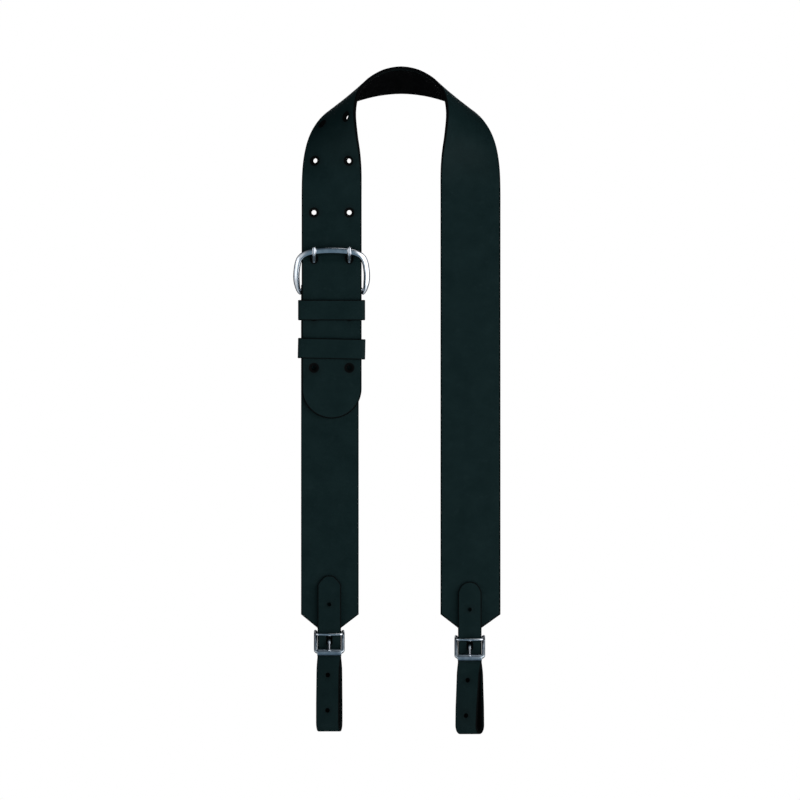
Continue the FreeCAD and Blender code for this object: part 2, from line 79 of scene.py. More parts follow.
# Leather, as in the CAD
STRAP_WIDTH = 51.0
STRAP_THICKNESS = 3.0
LEG_X = 59.0
CROWN_END_Z = -111.4
LEG_CORNER_Z = -454.0
LEG_POINT_Z = -464.0
HOLE_SPREAD = 30.0
HOLE_PITCH = 44.0
CROWN_HOLE_PITCH = 35.0
FIRST_HOLE_Z = -68.5
TIP_Y = -4.2
TIP_END_Z = -287.6
SKIVED = 2.0
SHORT_X = -60.5
SHORT_WIDTH = 49.0
SHORT_SKIVE_Z = -186.0
TURNBACK_END_Z = -250.0
KEEPER_LEATHER = 2.0
KEEPER_TILTS = {"upper": 0.0, "lower": 1.2}

# Narrow straps, as in the CAD. Heights are for an end whose hinge bar is at END_BAR_Z.
END_WIDTH = 20.0
END_LEATHER = 2.5
END_BAR_Z = -470.0
TAB_END_Z = -432.0
END_BACK_TOP_Z = -428.0
END_BACK_Y = 4.95
END_FRONT_Y = -2.95
END_FIRST_HOLE_Z = -445.6
END_HOLE_PITCH = 30.0

# Places and shapes that only the looks have
TIP_STEP_Z = (-146.5, -156.0)
PRONG_SLOTS_Z = -152.3
KEEPER_HEIGHT = 17.3
LOOP_TWISTS = {"left": (11.0, 11.0), "right": (13.0, 27.0)}

# Crown of the long strap, from its middle down to the right leg: the centreline's x, y, z,
# then how far the width direction turns to the front and rises, in degrees.
CROWN_STATIONS = [
    (0.0, 43.5, 0.0, 90.0, 25.0),
    (15.7, 41.3, -1.8, 80.0, 25.0),
    (29.7, 35.2, -6.3, 68.5, 25.4),
    (41.4, 26.2, -12.3, 59.0, 24.6),
    (50.2, 16.0, -20.8, 54.0, 21.0),
    (55.5, 7.1, -32.8, 48.0, 13.0),
    (57.7, 1.6, -47.6, 36.5, 4.0),
    (58.4, 0.0, -63.5, 21.4, 0.0),
    (58.8, 0.0, -79.5, 8.3, 0.0),
    (59.0, 0.0, -95.4, 1.3, 0.0),
    (59.0, 0.0, CROWN_END_Z, 0.0, 0.0),
]

# Metal, as in the CAD
MAIN_BAR = Vector((-LEG_X, 3.9, -178.0))
MAIN_BAR_R = 2.25
MAIN_BAR_HALF = 26.6
MAIN_TILT = 16.0
END_BAR_R = 1.5
END_FRAME_HALF = 11.6
END_LUG = 2.8
END_FRAME_CUT = 2.6
END_RIVETS_UP = (17.5, 32.5)
PRONG_CURL = 290.0
PRONG_TAPER = 0.16
ROLLER_R = 3.0
ROLLER_WALL = 1.3
ROLLER_HALF = 10.3
WIRE_R = 1.05
RIVET_R = 4.0
RIVET_BORE_R = 1.5

# Centreline of the main buckle's frame in its own plane, from its left foot to the top's middle:
# x and height over the bar.
MAIN_OUTLINE = [
    (-25.9, -4.2),
    (-28.3, -0.4),
    (-29.9, 9.7),
    (-29.3, 19.8),
    (-27.4, 26.9),
    (-23.9, 30.7),
    (-17.0, 33.3),
    (0.0, 34.6),
]

# Where the design frame lies in the row frame, in millimetres
joint_at = {j["name"]: Vector(j["pos_m"]) / MM for j in frame["joints"] if "pos_m" in j}
ORIGIN = joint_at["main_buckle_hinge"] - MAIN_BAR


def design(name):
    """A joint's place in the design frame."""
    return joint_at[name] - ORIGIN


def node_low(node):
    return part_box(node)[0] / MM - ORIGIN


def node_high(node):
    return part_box(node)[1] / MM - ORIGIN


def end_drop(end):
    """How far an end's hinge bar lies under END_BAR_Z."""
    return END_BAR_Z - design(end + "_end_buckle_hinge").z


def share_of(value, start, end):
    """Where value lies between start and end, kept from 0 to 1."""
    return min(1.0, max(0.0, (value - start) / (end - start)))


def between(first, second, share):
    return first + (second - first) * share


# ---------------------------------------------------------------- node materials


def new_material(name):
    material = bpy.data.materials.new(name)
    material.use_nodes = True
    nodes = material.node_tree.nodes
    return material, nodes, material.node_tree.links, nodes["Principled BSDF"]


def noise_node(nodes, links, vector, scale, detail, roughness=0.5):
    node = nodes.new("ShaderNodeTexNoise")
    node.inputs["Scale"].default_value = scale
    node.inputs["Detail"].default_value = detail
    node.inputs["Roughness"].default_value = roughness
    links.new(vector, node.inputs["Vector"])
    return node.outputs["Fac"]


def ramp(nodes, links, factor, stops):
    """Colour ramp with (position, colour) stops."""
    node = nodes.new("ShaderNodeValToRGB")
    elements = node.color_ramp.elements
    while len(elements) < len(stops):
        elements.new(0.5)
    for element, (position, colour) in zip(elements, stops):
        element.position = position
        element.color = (*colour, 1.0)
    links.new(factor, node.inputs["Fac"])
    return node.outputs["Color"]


def remap(nodes, links, factor, low, high):
    node = nodes.new("ShaderNodeMapRange")
    node.inputs["To Min"].default_value = low
    node.inputs["To Max"].default_value = high
    links.new(factor, node.inputs["Value"])
    return node.outputs["Result"]


def mix_colour(nodes, links, factor, first, second, mode="MIX"):
    node = nodes.new("ShaderNodeMix")
    node.data_type = "RGBA"
    node.blend_type = mode
    for value, socket in ((factor, 0), (first, 6), (second, 7)):
        if isinstance(value, (tuple, float)):
            node.inputs[socket].default_value = value
        else:
            links.new(value, node.inputs[socket])
    return node.outputs[2]


def bump(nodes, links, height, strength, distance, normal=None):
    node = nodes.new("ShaderNodeBump")
    node.inputs["Strength"].default_value = strength
    node.inputs["Distance"].default_value = distance
    links.new(height, node.inputs["Height"])
    if normal is not None:
        links.new(normal, node.inputs["Normal"])
    return node.outputs["Normal"]


def maths(nodes, links, operation, first, second):
    node = nodes.new("ShaderNodeMath")
    node.operation = operation
    for value, socket in zip((first, second), node.inputs):
        if isinstance(value, float):
            socket.default_value = value
        else:
            links.new(value, socket)
    return node.outputs[0]


def leather_material(name, dark, light, worn, rough, specular):
    """Grain side: faint mottling, fine pebbled grain, rubbed patches and black burnished rims; the same black
    is painted into the dishes round punched holes as painted shade.
    """
    material, nodes, links, shader = new_material(name)
    flat = nodes.new("ShaderNodeUVMap")
    flat.uv_map = "flat"
    place = flat.outputs["UV"]
    clouds = noise_node(nodes, links, place, 5.0, 4.0, 0.6)
    rubbed = noise_node(nodes, links, place, 14.0, 6.0, 0.62)
    grain = nodes.new("ShaderNodeTexVoronoi")
    grain.feature = "SMOOTH_F1"
    grain.inputs["Scale"].default_value = 130.0
    grain.inputs["Smoothness"].default_value = 0.6
    links.new(place, grain.inputs["Vector"])
    pores = noise_node(nodes, links, place, 420.0, 3.0)
    colour = ramp(nodes, links, clouds, [(0.3, dark), (0.72, light)])
    patches = ramp(nodes, links, rubbed, [(0.56, (0, 0, 0)), (0.74, (1, 1, 1))])
    wear = remap(nodes, links, patches, 0.0, 0.55)
    colour = mix_colour(nodes, links, wear, colour, (*worn, 1.0))
    rim = nodes.new("ShaderNodeAttribute")
    rim.attribute_name = "edge_paint_and_dish_shade"
    edge_and_dish_darkness = rim.outputs["Fac"]
    # One attribute gives both the black of the burnished rims and the painted shade in the dishes round the
    # holes.
    colour = mix_colour(nodes, links, edge_and_dish_darkness, colour, (0.0016, 0.0019, 0.002, 1.0))
    links.new(colour, shader.inputs["Base Color"])
    roughness = remap(nodes, links, rubbed, rough - 0.1, rough + 0.12)
    matt = maths(nodes, links, "MULTIPLY", edge_and_dish_darkness, 0.2)
    links.new(maths(nodes, links, "ADD", roughness, matt), shader.inputs["Roughness"])
    shader.inputs["Specular IOR Level"].default_value = specular
    skin = bump(nodes, links, grain.outputs["Distance"], 0.22, 0.00016)
    skin = bump(nodes, links, pores, 0.16, 0.00006, skin)
    links.new(skin, shader.inputs["Normal"])
    return material


def flesh_material(name):
    """Flesh side: matt and fibrous, dark of itself and painted darker still, to near black, as painted shade.
    """
    material, nodes, links, shader = new_material(name)
    flat = nodes.new("ShaderNodeUVMap")
    flat.uv_map = "flat"
    place = flat.outputs["UV"]
    nap = noise_node(nodes, links, place, 160.0, 8.0, 0.7)
    patches = noise_node(nodes, links, place, 9.0, 4.0, 0.6)
    # Near-black fibre colour: the flesh side's own dark tone, pushed darker as painted shade.
    fibre = ramp(nodes, links, nap, [(0.3, (0.0008, 0.0009, 0.0010)), (0.75, (0.0050, 0.0055, 0.0058))])
    shade = ramp(nodes, links, patches, [(0.3, (0.45, 0.45, 0.45)), (0.7, (1, 1, 1))])
    links.new(mix_colour(nodes, links, 1.0, fibre, shade, "MULTIPLY"), shader.inputs["Base Color"])
    links.new(remap(nodes, links, nap, 0.82, 0.98), shader.inputs["Roughness"])
    shader.inputs["Specular IOR Level"].default_value = 0.01
    links.new(bump(nodes, links, nap, 0.7, 0.0003), shader.inputs["Normal"])
    return material


def metal_material(name, dark, light, rough_low, rough_high, scratch_scale):
    """Plated metal: clouded tone, hairline scratches and a slightly uneven polish."""
    material, nodes, links, shader = new_material(name)
    where = nodes.new("ShaderNodeTexCoord").outputs["Object"]
    stretch = nodes.new("ShaderNodeMapping")
    stretch.inputs["Scale"].default_value = (scratch_scale * 0.12, scratch_scale, scratch_scale)
    links.new(where, stretch.inputs["Vector"])
    scratches = noise_node(nodes, links, stretch.outputs["Vector"], 1.0, 4.0, 0.65)
    tarnish = noise_node(nodes, links, where, 260.0, 5.0, 0.6)
    edge = nodes.new("ShaderNodeNewGeometry").outputs["Pointiness"]
    colour = ramp(nodes, links, tarnish, [(0.32, dark), (0.62, light)])
    rubbed = ramp(nodes, links, edge, [(0.5, (0, 0, 0)), (0.62, (1, 1, 1))])
    bright = tuple(min(1.0, c * 1.12) for c in light)
    colour = mix_colour(nodes, links, rubbed, colour, (*bright, 1.0))
    links.new(colour, shader.inputs["Base Color"])
    shader.inputs["Metallic"].default_value = 1.0
    links.new(remap(nodes, links, tarnish, rough_low, rough_high), shader.inputs["Roughness"])
    links.new(bump(nodes, links, scratches, 0.06, 0.00004), shader.inputs["Normal"])
    return material


GRAIN = leather_material("black_leather", (0.0044, 0.0140, 0.0147), (0.0072, 0.0192, 0.0200),
                         (0.0100, 0.0235, 0.0245), 0.50, 0.05)
END_GRAIN = leather_material("narrow_strap_leather", (0.0042, 0.0132, 0.0139), (0.0069, 0.0182, 0.0190),
                             (0.0092, 0.0218, 0.0228), 0.48, 0.05)
SHADE_DARKENED_FLESH = flesh_material("leather_flesh_side_painted_shade")
NICKEL = metal_material("polished_nickel", (0.58, 0.63, 0.69), (0.82, 0.85, 0.89), 0.10, 0.22, 900.0)
END_NICKEL = metal_material("brushed_nickel", (0.46, 0.54, 0.61), (0.66, 0.73, 0.79), 0.26, 0.38, 1100.0)
ROLLER_NICKEL = metal_material("dulled_nickel", (0.30, 0.37, 0.43), (0.44, 0.51, 0.57), 0.28, 0.40, 1100.0)
STEEL = metal_material("plated_steel", (0.34, 0.35, 0.37), (0.55, 0.56, 0.58), 0.24, 0.42, 1400.0)


# ---------------------------------------------------------------- meshes


def finish_mesh(name, points, faces, materials, face_material=None, uvs=None, edge_paint_and_dish_shade=None):
    """Object from points in the design frame. Faces are turned outwards and shaded smooth."""
    mesh = bpy.data.meshes.new(name)
    mesh.from_pydata([(p + ORIGIN) * MM for p in points], [], faces)
    for material in materials:
        mesh.materials.append(material)
    if face_material is not None:
        mesh.polygons.foreach_set("material_index", face_material)
    if uvs is not None:
        layer = mesh.uv_layers.new(name="flat")
        for corner, vertex in enumerate(v for face in faces for v in face):
            layer.data[corner].uv = uvs[vertex]
    if edge_paint_and_dish_shade is not None:
        mesh.attributes.new("edge_paint_and_dish_shade", "FLOAT", "POINT").data.foreach_set("value", edge_paint_and_dish_shade)
    edit = bmesh.new()
    edit.from_mesh(mesh)
    bmesh.ops.recalc_face_normals(edit, faces=edit.faces)
    edit.to_mesh(mesh)
    edit.free()
    mesh.shade_smooth()
    mesh.set_sharp_from_angle(angle=math.radians(50))
    piece = bpy.data.objects.new(name, mesh)
    bpy.context.scene.collection.objects.link(piece)
    return piece


# ---------------------------------------------------------------- paths


def bend(points, radii, step=6.0, turn_step=9.0):
    """(point, direction) along straight runs and tangent arcs through corner points."""
    samples = []

    def run(start, end, along):
        count = max(1, math.ceil((end - start).length / step))
        first = 1 if samples else 0
        for i in range(first, count + 1):
            samples.append((start.lerp(end, i / count), along))

    start = points[0]
    for before, corner, after, radius in zip(points, points[1:], points[2:], radii):
        into = (corner - before).normalized()
        out = (after - corner).normalized()
        turn = into.angle(out)
        reach = radius * math.tan(turn / 2)
        first = corner - into * reach
        if (first - start).length > 0.05:
            run(start, first, into)
        axis = into.cross(out).normalized()
        centre = first + axis.cross(into) * radius
        count = max(2, math.ceil(math.degrees(turn) / turn_step))
        for i in range(1 if samples else 0, count + 1):
            spin = Matrix.Rotation(turn * i / count, 3, axis)
            samples.append((centre + spin @ (first - centre), spin @ into))
        start = corner + out * reach
    if (points[-1] - start).length > 0.05:
        run(start, points[-1], (points[-1] - start).normalized())
    return samples


def flat_path(x, corners):
    """Corner points of a path in the plane across the strap at x."""
    return [Vector((x, y, z)) for y, z in corners]


def stations_of(samples, width):
    """(point, width direction, grain normal) at each sample of a path with one width direction."""
    return [(point, width, along.cross(width).normalized()) for point, along in samples]


def smooth(knots, step, ends=(None, None)):
    """Smooth curve through knots, each a tuple of vectors whose first is the point.

    Returns (point, ..., direction). ends may give the curve's direction at its two ends.
    """
    times = [0.0]
    for before, after in zip(knots, knots[1:]):
        times.append(times[-1] + (after[0] - before[0]).length)

    def slope(i, part):
        low, high = max(i - 1, 0), min(i + 1, len(knots) - 1)
        if part == 0 and low == i and ends[0]:
            return ends[0]
        if part == 0 and high == i and ends[1]:
            return ends[1]
        return (knots[high][part] - knots[low][part]) / (times[high] - times[low])

    made = []
    for i in range(len(knots) - 1):
        span = times[i + 1] - times[i]
        count = math.ceil(span / step)
        for k in range(1 if i else 0, count + 1):
            t = k / count
            parts = []
            for part, (a, b) in enumerate(zip(knots[i], knots[i + 1])):
                m, n = slope(i, part) * span, slope(i + 1, part) * span
                parts.append(a * (2 * t**3 - 3 * t**2 + 1) + m * (t**3 - 2 * t**2 + t)
                             + b * (3 * t**2 - 2 * t**3) + n * (t**3 - t**2))
                if part == 0:
                    along = (a * (6 * t**2 - 6 * t) + m * (3 * t**2 - 4 * t + 1)
                             + b * (6 * t - 6 * t**2) + n * (3 * t**2 - 2 * t))
            made.append((*parts, along.normalized()))
    return made


def crown_stations():
    """Right leg's end of the crown to the left leg's, smooth through CROWN_STATIONS."""
    right = []
    for x, y, z, turn, rise in reversed(CROWN_STATIONS):
        turn, rise = math.radians(turn), math.radians(rise)
        flat = math.cos(rise)
        width = Vector((-math.cos(turn) * flat, -math.sin(turn) * flat, math.sin(rise)))
        right.append((Vector((x, y, z)), width))
    left = [(Vector((-p.x, p.y, p.z)), Vector((-w.x, w.y, w.z))) for p, w in reversed(right[:-1])]
    return [(point, width.normalized(), along.cross(width).normalized())
            for point, width, along in smooth(right + left, 4.0, (Z_AXIS, -Z_AXIS))]


class Ribbon:
    """Path of a strap: place(u, s, n) puts a point of the flat leather on the bent strap."""

    def __init__(self, stations):
        self.stations = stations
        self.rows = [0.0]
        for before, after in zip(stations, stations[1:]):
            self.rows.append(self.rows[-1] + (after[0] - before[0]).length)
        self.length = self.rows[-1]

    def at(self, s):
        """Point, width direction and grain normal at a distance along the path."""
        low, high = 0, len(self.rows) - 1
        while high - low > 1:
            middle = (low + high) // 2
            low, high = (middle, high) if self.rows[middle] <= s else (low, middle)
        share = (s - self.rows[low]) / (self.rows[high] - self.rows[low])
        return [a.lerp(b, share) for a, b in zip(self.stations[low], self.stations[high])]

    def place(self, u, s, n):
        point, width, normal = self.at(s)
        return point + width * u + normal * n

    def where_z(self, z, last=True):
        """Distance along the path where it crosses height z, on its last or first crossing."""
        found = []
        for i in range(len(self.rows) - 1):
            a, b = self.stations[i][0].z, self.stations[i + 1][0].z
            if (a - z) * (b - z) <= 0 and a != b:
                found.append(self.rows[i] + (self.rows[i + 1] - self.rows[i]) * (z - a) / (b - a))
        return found[-1 if last else 0]


# ---------------------------------------------------------------- leather


def divided(corners, rows, step=5.0, clear=2.0):
    """Closed outline in (u, s) with extra points at the path's rows, clear of its own corners."""
    outline = []
    for (u0, s0), (u1, s1) in zip(corners, corners[1:] + corners[:1]):
        outline.append(Vector((u0, s0)))
        long = math.hypot(u1 - u0, s1 - s0)
        if abs(s1 - s0) > 0.2 * long:
            shares = sorted((row - s0) / (s1 - s0) for row in rows)
        else:
            count = math.ceil(long / step)
            shares = [i / count for i in range(count)]
        for share in shares:
            if clear < share * long < long - clear:
                outline.append(Vector((u0 + (u1 - u0) * share, s0 + (s1 - s0) * share)))
    return outline


def inset(outline, distance):
    """Outline moved inwards. Its points go round anticlockwise in (u, s)."""
    moved = []
    for before, point, after in zip(outline[-1:] + outline[:-1], outline, outline[1:] + outline[:1]):
        first = (point - before).normalized()
        second = (after - point).normalized()
        n1, n2 = Vector((-first.y, first.x)), Vector((-second.y, second.x))
        moved.append(point + (n1 + n2) * (distance / (1 + n1.dot(n2))))
    return moved


def slot_ring(centre, radius, length, count=24):
    """Round hole, or a slot along s when length is over 0, as a ring of points."""
    ring = []
    for i in range(count):
        angle = 2 * math.pi * (i + 0.5) / count
        shift = math.copysign(length / 2, math.sin(angle))
        ring.append(centre + Vector((radius * math.cos(angle), radius * math.sin(angle) + shift)))
    return ring


def inside(point, ring):
    """True if a 2-D point is inside a closed ring."""
    crossed = False
    for a, b in zip(ring, ring[1:] + ring[:1]):
        if (a.y > point.y) != (b.y > point.y):
            if point.x < a.x + (b.x - a.x) * (point.y - a.y) / (b.y - a.y):
                crossed = not crossed
    return crossed


def near(point, others, distance):
    return any(abs(a.y - point.y) < distance and abs(a.x - point.x) < distance for a in others)


BAND = 8.0
CLEAR_OF_EDGES = 1.6


def fill(rings, rows, columns):
    """Points and triangles of the flat area inside the first ring and outside the others."""
    outer, holes = rings[0], rings[1:]
    points = [p for ring in rings for p in ring]
    edges = []
    at = 0
    for ring in rings:
        edges += [(at + i, at + (i + 1) % len(ring)) for i in range(len(ring))]
        at += len(ring)
    bands = {}
    for p in points:
        bands.setdefault(int(p.y // BAND), []).append(p)
    left, right = min(p.x for p in outer), max(p.x for p in outer)
    for row in rows:
        close = [q for k in (-1, 0, 1) for q in bands.get(int(row // BAND) + k, [])]
        for i in range(1, columns):
            p = Vector((left + (right - left) * i / columns, row))
            if near(p, close, CLEAR_OF_EDGES) or any(inside(p, h) for h in holes):
                continue
            if inside(p, outer):
                points.append(p)
    made = geometry.delaunay_2d_cdt(points, edges, [], 1, 1e-6)
    verts, triangles, source = made[0], made[2], made[3]
    kept = []
    for face in triangles:
        middle = sum((verts[v] for v in face), Vector((0, 0))) / len(face)
        if not any(inside(middle, hole) for hole in holes):
            kept.append([source[v][0] for v in face])
    return points, kept


# A hole's dish: share of its width outside the hole, share of its depth
HOLE_DISH = [(1.0, 0.0), (0.8, 0.04), (0.55, 0.28), (0.32, 0.66), (0.12, 0.93)]
HOLE_EDGE = 0.3
RIM_STEPS = 5
UV_PER_MM = 0.01
WAVE_ACROSS = 0.035
WAVE_ALONG = 0.022


def leather(name, ribbon, corners, holes, thickness, materials, rim=1.1, columns=12, ripple=0.12,
            clear=2.0, warp=None):
    """One piece of leather: cut flat, edges rounded, holes punched and dished, then bent.

    holes are (u, s, radius, slot length, dish width, dish depth). thickness is a function of s.
    """
    outline = divided(corners, ribbon.rows, clear=clear)
    # Rim from the face to the edge: distance inwards, drop from the face, how black the burnished edge is
    profile = [(0.45 + rim, 0.0, 0.0), (rim, 0.0, 0.35)]
    for i in range(1, RIM_STEPS + 1):
        angle = math.pi / 2 * i / RIM_STEPS
        profile.append((rim * (1 - math.sin(angle)), rim * (1 - math.cos(angle)), 1.0))
    flat, edge_paint_and_dish_shade, faces = [], [], []

    def add_ring(ring, face, depth, dark):
        """One ring of points. face is 1 for the grain face and -1 for the flesh face."""
        at = len(flat)
        for p in ring:
            flat.append((p.x, p.y, face * (thickness(p.y) / 2 - depth)))
            edge_paint_and_dish_shade.append(dark)
        return range(at, len(flat))

    def join(rings):
        for a, b in zip(rings, rings[1:]):
            for i in range(len(a)):
                k = (i + 1) % len(a)
                faces.append((a[i], a[k], b[k], b[i]))

    rings = [add_ring(inset(outline, d), 1, drop, dark) for d, drop, dark in profile]
    rings += [add_ring(inset(outline, d), -1, drop, dark) for d, drop, dark in reversed(profile)]
    join(rings)
    inner = inset(outline, profile[0][0])
    front_rings, back_rings = [(inner, rings[0])], [(inner, rings[-1])]
    for u, s, radius, slot, dish, depth in holes:
        centre = Vector((u, s))
        rings = []
        # A sunk hole's dish is blackened inwards from its outer edge as painted shade. A raised ring and the
        # dish's outer edge get only a light touch, and the cut wall is burnished black.
        for share, drop in HOLE_DISH:
            ring = slot_ring(centre, radius + dish * share, slot)
            rings.append(add_ring(ring, 1, depth * drop, 1.0 if share < 0.9 and depth > 0 else 0.2))
        rings.append(add_ring(slot_ring(centre, radius, slot), 1, depth + 0.25, 1.0))
        rings.append(add_ring(slot_ring(centre, radius, slot), -1, HOLE_EDGE, 1.0))
        rings.append(add_ring(slot_ring(centre, radius + HOLE_EDGE, slot), -1, 0.0, 1.0))
        join(rings)
        front_rings.append((slot_ring(centre, radius + dish, slot), rings[0]))
        back_rings.append((slot_ring(centre, radius + HOLE_EDGE, slot), rings[-1]))
    side = [0] * len(faces)
    for sign, ringed in ((1, front_rings), (-1, back_rings)):
        points, triangles = fill([ring for ring, _ in ringed], ribbon.rows, columns)
        ids = [i for _, known in ringed for i in known]
        for p in points[len(ids):]:
            ids.append(len(flat))
            flat.append((p.x, p.y, sign * thickness(p.y) / 2))
            edge_paint_and_dish_shade.append(0.0)
        faces += [tuple(ids[v] for v in face) for face in triangles]
        side += [0 if sign > 0 else 1] * len(triangles)
    points = []
    for u, s, n in flat:
        wave = ripple * noise.noise(Vector((u * WAVE_ACROSS, s * WAVE_ALONG, len(name) * 1.7)))
        point = ribbon.place(u, s, n + wave)
        points.append(warp(point) if warp else point)
    uvs = [(u * UV_PER_MM + len(name), s * UV_PER_MM) for u, s, _ in flat]
    return finish_mesh(name, points, faces, materials, side, uvs, edge_paint_and_dish_shade)


def even(value):
    return lambda s: value


def skive(start, end, before, after):
    """Thickness that changes evenly from before to after between two distances."""
    return lambda s: between(before, after, share_of(s, start, end))


def arc_corners(middle_u, centre_s, radius, start, turn, count):
    """Corner points on an arc in (u, s), angles in degrees from the +u direction."""
    made = []
    for i in range(count + 1):
        angle = math.radians(start + turn * i / count)
        made.append((middle_u + radius * math.cos(angle), centre_s + radius * math.sin(angle)))
    return made


# ---------------------------------------------------------------- metal


def sweep(path, flat, power=2.0, count=24):
    """Points and faces of a bar along (point, direction, half width, half height) stations.

    flat is the direction of the section's height, or a function of a station's direction that
    gives it. power is 2 for an ellipse, more for a box.
    """
    path = rounded_ends(path)
    points = []
    for point, along, half_wide, half_high in path:
        up = flat(along) if callable(flat) else flat
        height = (up - along * up.dot(along)).normalized()
        wide = height.cross(along).normalized()
        for i in range(count):
            angle = 2 * math.pi * i / count
            c, s = math.cos(angle), math.sin(angle)
            a = math.copysign(abs(c) ** (2 / power), c) * half_wide
            b = math.copysign(abs(s) ** (2 / power), s) * half_high
            points.append(point + wide * a + height * b)
    return points, tube_faces(len(path), count)


def tube_faces(rings, count):
    """Faces of a closed tube whose points are rings of count points each."""
    faces = []
    for r in range(rings - 1):
        for i in range(count):
            k = (i + 1) % count
            faces.append((r * count + i, r * count + k, (r + 1) * count + k, (r + 1) * count + i))
    faces.append(tuple(range(count)))
    faces.append(tuple(range((rings - 1) * count, rings * count)))
    return faces


def rounded_ends(path):
    """Closes both ends of a bar with a dome that stays inside its length."""

    def dome(station, inwards, angles):
        point, along, wide, high = station
        reach = min(wide, high)
        return [(point + along * (inwards * reach * (1 - math.sin(math.radians(angle)))), along,
                 wide * math.cos(math.radians(angle)), high * math.cos(math.radians(angle)))
                for angle in angles]

    angles = (84, 66, 48, 30, 15, 0)
    return dome(path[0], 1, angles) + path[1:-1] + dome(path[-1], -1, angles[::-1])


def bar(points, radii, half_wide, half_high, **how):
    """Bar of even section along a bent path."""
    return [(p, t, half_wide, half_high) for p, t in bend(points, radii, **how)]


def lathe(profile, centre, axis, count=32):
    """Turned part: profile is (radius, distance along the axis)."""
    side = axis.orthogonal().normalized()
    other = axis.cross(side)
    points = []
    for radius, along in profile:
        for i in range(count):
            angle = 2 * math.pi * i / count
            outwards = side * math.cos(angle) + other * math.sin(angle)
            points.append(centre + axis * along + outwards * radius)
    return points, tube_faces(len(profile), count)


def joined(name, shapes, material):
    """One mesh piece from several closed shapes."""
    points, faces = [], []
    for shape_points, shape_faces in shapes:
        at = len(points)
        points += shape_points
        faces += [tuple(v + at for v in face) for face in shape_faces]
    return finish_mesh(name, points, faces, [material])


# ---------------------------------------------------------------- wide straps


def tab_fold(end):
    """(y, z) corners and bend radii of the tab that folds back round an end buckle's hinge bar."""
    bar_at = design(end + "_end_buckle_hinge")
    y, z = bar_at.y, bar_at.z
    back = STRAP_THICKNESS / 2 + SKIVED / 2 + 0.15
    tab_top = TAB_END_Z - end_drop(end)
    corners = [(0, z - y), (2 * y, z - y), (2 * y, z + 2.5), (back, z + 10), (back, tab_top)]
    return corners, [y - 0.01, y - 0.01, 4, 4]


def front_run(ribbon):
    """Front side of a strap as a ribbon of its own, and how far along the strap it starts."""
    front = [i for i, (_, _, normal) in enumerate(ribbon.stations) if normal.y < -0.9]
    return Ribbon(ribbon.stations[front[0]:front[-1] + 1]), ribbon.rows[front[0]]


def long_strap():
    """Right tab, right leg, crown and the buckled left leg with its punched tip."""
    fold, radii = tab_fold("right")
    step_top, step_bottom = TIP_STEP_Z
    right = bend(flat_path(LEG_X, fold[::-1] + [(0, CROWN_END_Z)]), radii[::-1])
    left_corners = [(0, CROWN_END_Z), (0, step_top), (TIP_Y, step_bottom), (TIP_Y, TIP_END_Z)]
    left = bend(flat_path(-LEG_X, left_corners), [12, 12])
    ribbon = Ribbon(stations_of(right, -X_AXIS) + crown_stations()[1:] + stations_of(left, X_AXIS)[1:])
    front, start = front_run(ribbon)
    corner = start + front.where_z(LEG_CORNER_Z, last=False)
    point = start + front.where_z(LEG_POINT_Z, last=False)
    half, tab = STRAP_WIDTH / 2, END_WIDTH / 2
    tab_u = LEG_X - design("right_end_buckle_hinge").x
    tip = arc_corners(0, ribbon.length - half, half, 0, 180, 30)
    outline = [(tab_u + tab, 0), (tab_u + tab, point - 1.5), (half, corner), *tip,
               (-half, corner), (tab_u - tab, point - 1.5), (tab_u - tab, 0)]
    first_row = ribbon.where_z(CROWN_END_Z) - (FIRST_HOLE_Z - CROWN_END_Z)
    rows = [first_row - CROWN_HOLE_PITCH, first_row]
    rows += [ribbon.where_z(FIRST_HOLE_Z - HOLE_PITCH * k) for k in (1, 3, 4)]
    prongs = ribbon.where_z(PRONG_SLOTS_Z)
    sides = (-HOLE_SPREAD / 2, HOLE_SPREAD / 2)
    holes = [(u, row, 2.0, 0.0, 2.6, 0.55) for row in rows for u in sides]
    holes += [(u, prongs, 1.8, 1.6, 2.0, 0.6) for u in sides]
    thick = skive(point - 6, point + 6, SKIVED, STRAP_THICKNESS)
    return leather("long_strap_leather", ribbon, outline, holes, thick, [GRAIN, SHADE_DARKENED_FLESH], columns=13)


